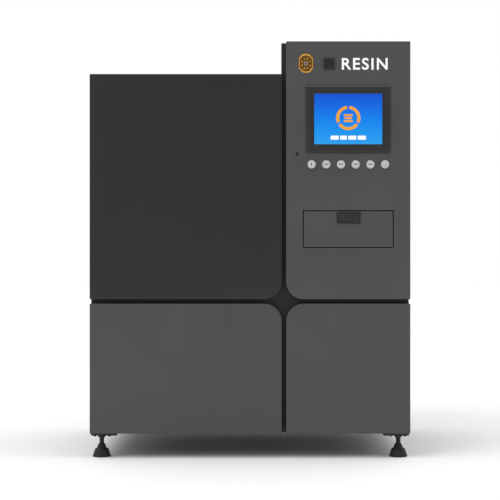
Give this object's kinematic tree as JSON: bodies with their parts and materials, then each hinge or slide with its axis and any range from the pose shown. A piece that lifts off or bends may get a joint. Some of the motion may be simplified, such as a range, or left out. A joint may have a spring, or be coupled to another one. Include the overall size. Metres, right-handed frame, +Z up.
{
  "type": "resin printer",
  "caption": "Floor-standing industrial laser resin printer: sheet-metal cabinet with a vat chamber, control tower with touch display, hinged doors and levelling feet.",
  "frame": {"origin": "on the floor under the middle of the whole cabinet", "axes": "+X to the right seen from the front, +Y from the doors to the rear, +Z up"},
  "size_m": [1.42, 1.16, 1.847],
  "materials": {
    "grey_powder_coat": "satin powder coat",
    "black_powder_coat": "matte powder coat",
    "stainless_steel": "brushed",
    "anodised_aluminium": "satin anodised",
    "ground_steel": "ground",
    "black_foot": "black oxide",
    "smoked_acrylic": "smoked, polished",
    "black_plastic": "fine texture",
    "lit_display": "lit, glossy",
    "lamp_diffuser": "amber diffuser",
    "button_chrome": "polished",
    "button_white": "moulded",
    "badge_brass": "brushed",
    "black_chrome": "black chrome",
    "scan_glass": "coated",
    "mirror_coat": "coated",
    "inlet_plastic": "moulded",
    "knob_plastic": "moulded red"
  },
  "bodies": {
    "cabinet": {"base_frame": "grey_powder_coat", "left_side_panel": "grey_powder_coat", "right_side_panel": "grey_powder_coat", "chamber_roof": "grey_powder_coat", "tower_roof": "grey_powder_coat", "rear_panels": "grey_powder_coat", "partition_wall": "grey_powder_coat", "front_frame": "black_powder_coat", "hinge_blocks": "black_powder_coat", "exhaust_fan_housing": "black_powder_coat", "resin_vat": "stainless_steel", "chamber_deck": "stainless_steel", "vat_stand": "stainless_steel", "z_column": "anodised_aluminium", "optics_plate": "anodised_aluminium", "laser_head": "anodised_aluminium", "galvo_head": "anodised_aluminium", "servo_drives": "anodised_aluminium", "industrial_pc": "anodised_aluminium", "electrics_plate": "anodised_aluminium", "linear_rails": "ground_steel", "foot_mounts": "black_foot", "servo_motors": "black_powder_coat", "chiller": "black_powder_coat", "chamber_lamps": "lamp_diffuser", "scan_window": "scan_glass", "power_inlet": "inlet_plastic"},
    "chamber_door": {"chamber_door_frame": "black_powder_coat", "chamber_door_pane": "smoked_acrylic"},
    "tower_door": {"tower_door": "grey_powder_coat", "monitor_housing": "black_plastic", "monitor_display": "lit_display", "button_bezels": "button_chrome", "badge_plate": "badge_brass", "buzzer_grille": "black_plastic"},
    "lower_left_door": {"lower_left_door": "grey_powder_coat"},
    "lower_right_door": {"lower_right_door": "grey_powder_coat"},
    "keyboard_flap": {"keyboard_flap": "grey_powder_coat", "keyboard": "black_plastic"},
    "flap_latch": {"flap_latch": "black_plastic"},
    "lock_cylinder": {"lock_cylinder": "black_chrome"},
    "lift": {"z_carriage": "anodised_aluminium", "build_platform": "stainless_steel"},
    "z_screw": {"z_screw": "ground_steel"},
    "recoater": {"recoater_carriage": "anodised_aluminium"},
    "recoater_screw": {"recoater_screw": "ground_steel"},
    "galvo_mirror_x": {"galvo_mirror_x": "mirror_coat"},
    "galvo_mirror_y": {"galvo_mirror_y": "mirror_coat"},
    "exhaust_rotor": {"exhaust_rotor": "black_plastic"},
    "isolator_knob": {"isolator_knob": "knob_plastic"},
    "button_1": {"button_1": "button_white"},
    "button_2": {"button_2": "button_white"},
    "button_3": {"button_3": "button_white"},
    "button_4": {"button_4": "button_white"},
    "button_5": {"button_5": "button_white"},
    "button_6": {"button_6": "button_white"},
    "foot_1": {"foot_1": "black_foot"},
    "foot_2": {"foot_2": "black_foot"},
    "foot_3": {"foot_3": "black_foot"},
    "foot_4": {"foot_4": "black_foot"}
  },
  "joints": [
    {"name": "chamber_door_hinge", "type": "hinge", "parent": "cabinet", "child": "chamber_door", "pos_m": [-0.7, -0.534, 0.5], "axis": [0, 0, -1], "range_deg": [0, 100]},
    {"name": "lower_left_door_hinge", "type": "hinge", "parent": "cabinet", "child": "lower_left_door", "pos_m": [-0.7, -0.534, 0.5], "axis": [0, 0, -1], "range_deg": [0, 100]},
    {"name": "tower_door_hinge", "type": "hinge", "parent": "cabinet", "child": "tower_door", "pos_m": [0.7, -0.534, 0.5], "axis": [0, 0, 1], "range_deg": [0, 100]},
    {"name": "lower_right_door_hinge", "type": "hinge", "parent": "cabinet", "child": "lower_right_door", "pos_m": [0.7, -0.534, 0.5], "axis": [0, 0, 1], "range_deg": [0, 100]},
    {"name": "keyboard_flap_hinge", "type": "hinge", "parent": "tower_door", "child": "keyboard_flap", "pos_m": [0.435, -0.568, 0.938], "axis": [1, 0, 0], "range_deg": [0, 90]},
    {"name": "flap_latch_pivot", "type": "hinge", "parent": "keyboard_flap", "child": "flap_latch", "pos_m": [0.4365, -0.5732, 1.0835], "axis": [-1, 0, 0], "range_deg": [0, 30], "stiffness_Nm_per_rad": 0.2},
    {"name": "lock_turn", "type": "hinge", "parent": "tower_door", "child": "lock_cylinder", "pos_m": [0.208, -0.57, 1.349], "axis": [0, 1, 0], "range_deg": [0, 90]},
    {"name": "lift_slide", "type": "slide", "parent": "cabinet", "child": "lift", "axis": [0, 0, 1], "range_m": [-0.4, 0]},
    {"name": "z_screw_spin", "type": "hinge", "parent": "cabinet", "child": "z_screw", "pos_m": [-0.28, 0.3, 1.1], "axis": [0, 0, 1], "continuous": true},
    {"name": "recoater_slide", "type": "slide", "parent": "cabinet", "child": "recoater", "axis": [0, 1, 0], "range_m": [0, 0.55]},
    {"name": "recoater_screw_spin", "type": "hinge", "parent": "cabinet", "child": "recoater_screw", "pos_m": [0.115, -0.074, 0.842], "axis": [0, 1, 0], "continuous": true},
    {"name": "galvo_x_turn", "type": "hinge", "parent": "cabinet", "child": "galvo_mirror_x", "pos_m": [-0.3, -0.06, 1.585], "axis": [0, 1, 0], "range_deg": [-12, 12], "stiffness_Nm_per_rad": 0.05},
    {"name": "galvo_y_turn", "type": "hinge", "parent": "cabinet", "child": "galvo_mirror_y", "pos_m": [-0.28, -0.06, 1.54], "axis": [1, 0, 0], "range_deg": [-12, 12], "stiffness_Nm_per_rad": 0.05},
    {"name": "exhaust_rotor_spin", "type": "hinge", "parent": "cabinet", "child": "exhaust_rotor", "pos_m": [-0.35, 0.44, 1.72], "axis": [0, 0, 1], "continuous": true},
    {"name": "isolator_turn", "type": "hinge", "parent": "cabinet", "child": "isolator_knob", "pos_m": [0.5, 0.55, 0.404], "axis": [0, -1, 0], "range_deg": [0, 90]},
    {"name": "button_1_press", "type": "slide", "parent": "tower_door", "child": "button_1", "axis": [0, 1, 0], "range_m": [0, 0.004], "stiffness_N_per_m": 300},
    {"name": "button_2_press", "type": "slide", "parent": "tower_door", "child": "button_2", "axis": [0, 1, 0], "range_m": [0, 0.004], "stiffness_N_per_m": 300},
    {"name": "button_3_press", "type": "slide", "parent": "tower_door", "child": "button_3", "axis": [0, 1, 0], "range_m": [0, 0.004], "stiffness_N_per_m": 300},
    {"name": "button_4_press", "type": "slide", "parent": "tower_door", "child": "button_4", "axis": [0, 1, 0], "range_m": [0, 0.004], "stiffness_N_per_m": 300},
    {"name": "button_5_press", "type": "slide", "parent": "tower_door", "child": "button_5", "axis": [0, 1, 0], "range_m": [0, 0.004], "stiffness_N_per_m": 300},
    {"name": "button_6_press", "type": "slide", "parent": "tower_door", "child": "button_6", "axis": [0, 1, 0], "range_m": [0, 0.004], "stiffness_N_per_m": 300},
    {"name": "foot_1_turn", "type": "hinge", "parent": "cabinet", "child": "foot_1", "pos_m": [-0.663, -0.495, 0.05], "axis": [0, 0, 1], "continuous": true},
    {"name": "foot_2_turn", "type": "hinge", "parent": "cabinet", "child": "foot_2", "pos_m": [0.663, -0.495, 0.05], "axis": [0, 0, 1], "continuous": true},
    {"name": "foot_3_turn", "type": "hinge", "parent": "cabinet", "child": "foot_3", "pos_m": [-0.663, 0.495, 0.05], "axis": [0, 0, 1], "continuous": true},
    {"name": "foot_4_turn", "type": "hinge", "parent": "cabinet", "child": "foot_4", "pos_m": [0.663, 0.495, 0.05], "axis": [0, 0, 1], "continuous": true}
  ],
  "couplings": [
    {"joint": "z_screw_spin", "follows": "lift_slide", "rad_per_m": 628.32},
    {"joint": "recoater_screw_spin", "follows": "recoater_slide", "rad_per_m": 314.16}
  ]
}
